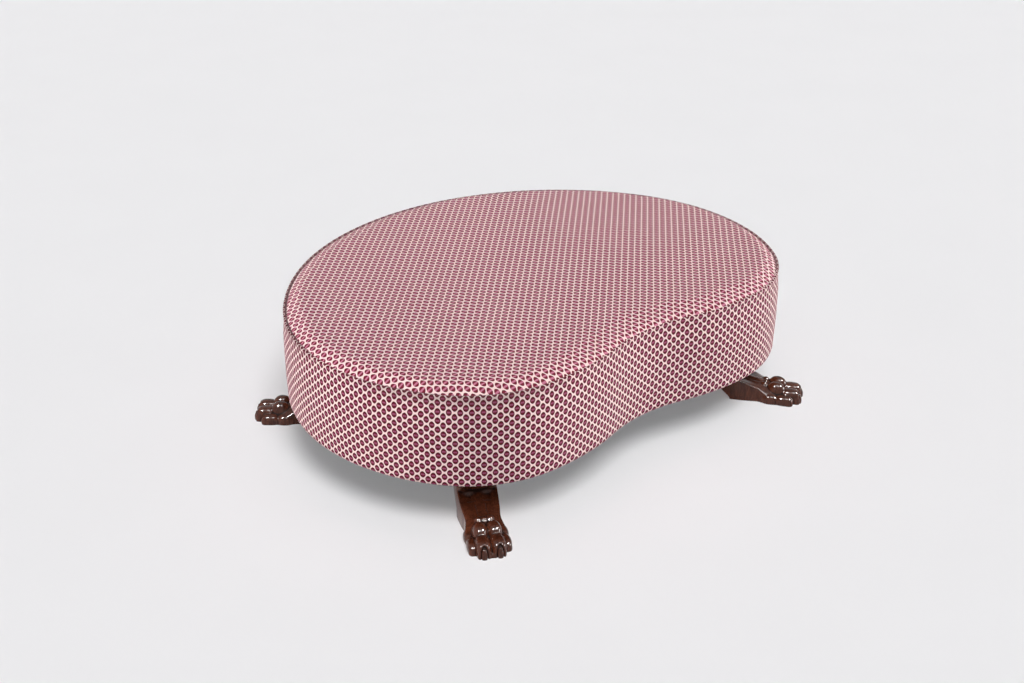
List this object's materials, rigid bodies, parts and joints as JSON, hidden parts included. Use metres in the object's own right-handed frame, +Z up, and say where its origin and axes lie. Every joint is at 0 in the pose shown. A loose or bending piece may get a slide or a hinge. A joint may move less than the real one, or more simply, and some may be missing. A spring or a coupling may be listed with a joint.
{
  "type": "ottoman",
  "caption": "Kidney-shaped upholstered ottoman with a hollow front, an upright cloth border, a crowned seat and carved mahogany paw legs.",
  "frame": {"origin": "on the floor, under the middle of the whole outline, toes included", "axes": "+X along the long side, +Y to the bulging back, away from the hollow front, +Z up"},
  "size_m": [1.2, 0.9501, 0.336],
  "materials": {
    "dotted_cloth": "pale pink woven cloth covered with small dark burgundy dots",
    "black_cloth": "thin black lining cloth",
    "mahogany": "dark red-brown mahogany, French polished",
    "beech": "planed beech, unfinished",
    "plywood": "sanded plywood, unfinished",
    "jute_webbing": "herringbone jute webbing",
    "hessian": "open plain-weave hessian",
    "seat_foam": "seat pad, cream, matt",
    "wadding": "soft white wadding",
    "zinc_steel": "zinc-plated steel"
  },
  "bodies": {
    "root": {"base_board": "plywood", "block_back_left": "beech", "block_back_right": "beech", "block_front_left": "beech", "block_front_right": "beech", "border_cover": "dotted_cloth", "border_padding": "wadding", "dust_cover": "black_cloth", "hessian": "hessian", "leg_back_left": "mahogany", "leg_back_right": "mahogany", "leg_bolts": "zinc_steel", "leg_front_left": "mahogany", "leg_front_right": "mahogany", "leg_washers": "zinc_steel", "pad_wadding": "wadding", "post_1": "beech", "post_10": "beech", "post_2": "beech", "post_3": "beech", "post_4": "beech", "post_5": "beech", "post_6": "beech", "post_7": "beech", "post_8": "beech", "post_9": "beech", "seat_pad": "seat_foam", "stretcher_left": "beech", "stretcher_right": "beech", "top_cover": "dotted_cloth", "top_ring": "beech", "wall_liner": "plywood", "webbing_cross_1": "jute_webbing", "webbing_cross_2": "jute_webbing", "webbing_cross_3": "jute_webbing", "webbing_cross_4": "jute_webbing", "webbing_cross_5": "jute_webbing", "webbing_cross_6": "jute_webbing", "webbing_cross_7": "jute_webbing", "webbing_cross_8": "jute_webbing", "webbing_long_1": "jute_webbing", "webbing_long_2": "jute_webbing", "webbing_long_3": "jute_webbing", "webbing_long_4": "jute_webbing", "webbing_long_5": "jute_webbing", "webbing_long_6": "jute_webbing"}
  },
  "joints": []
}
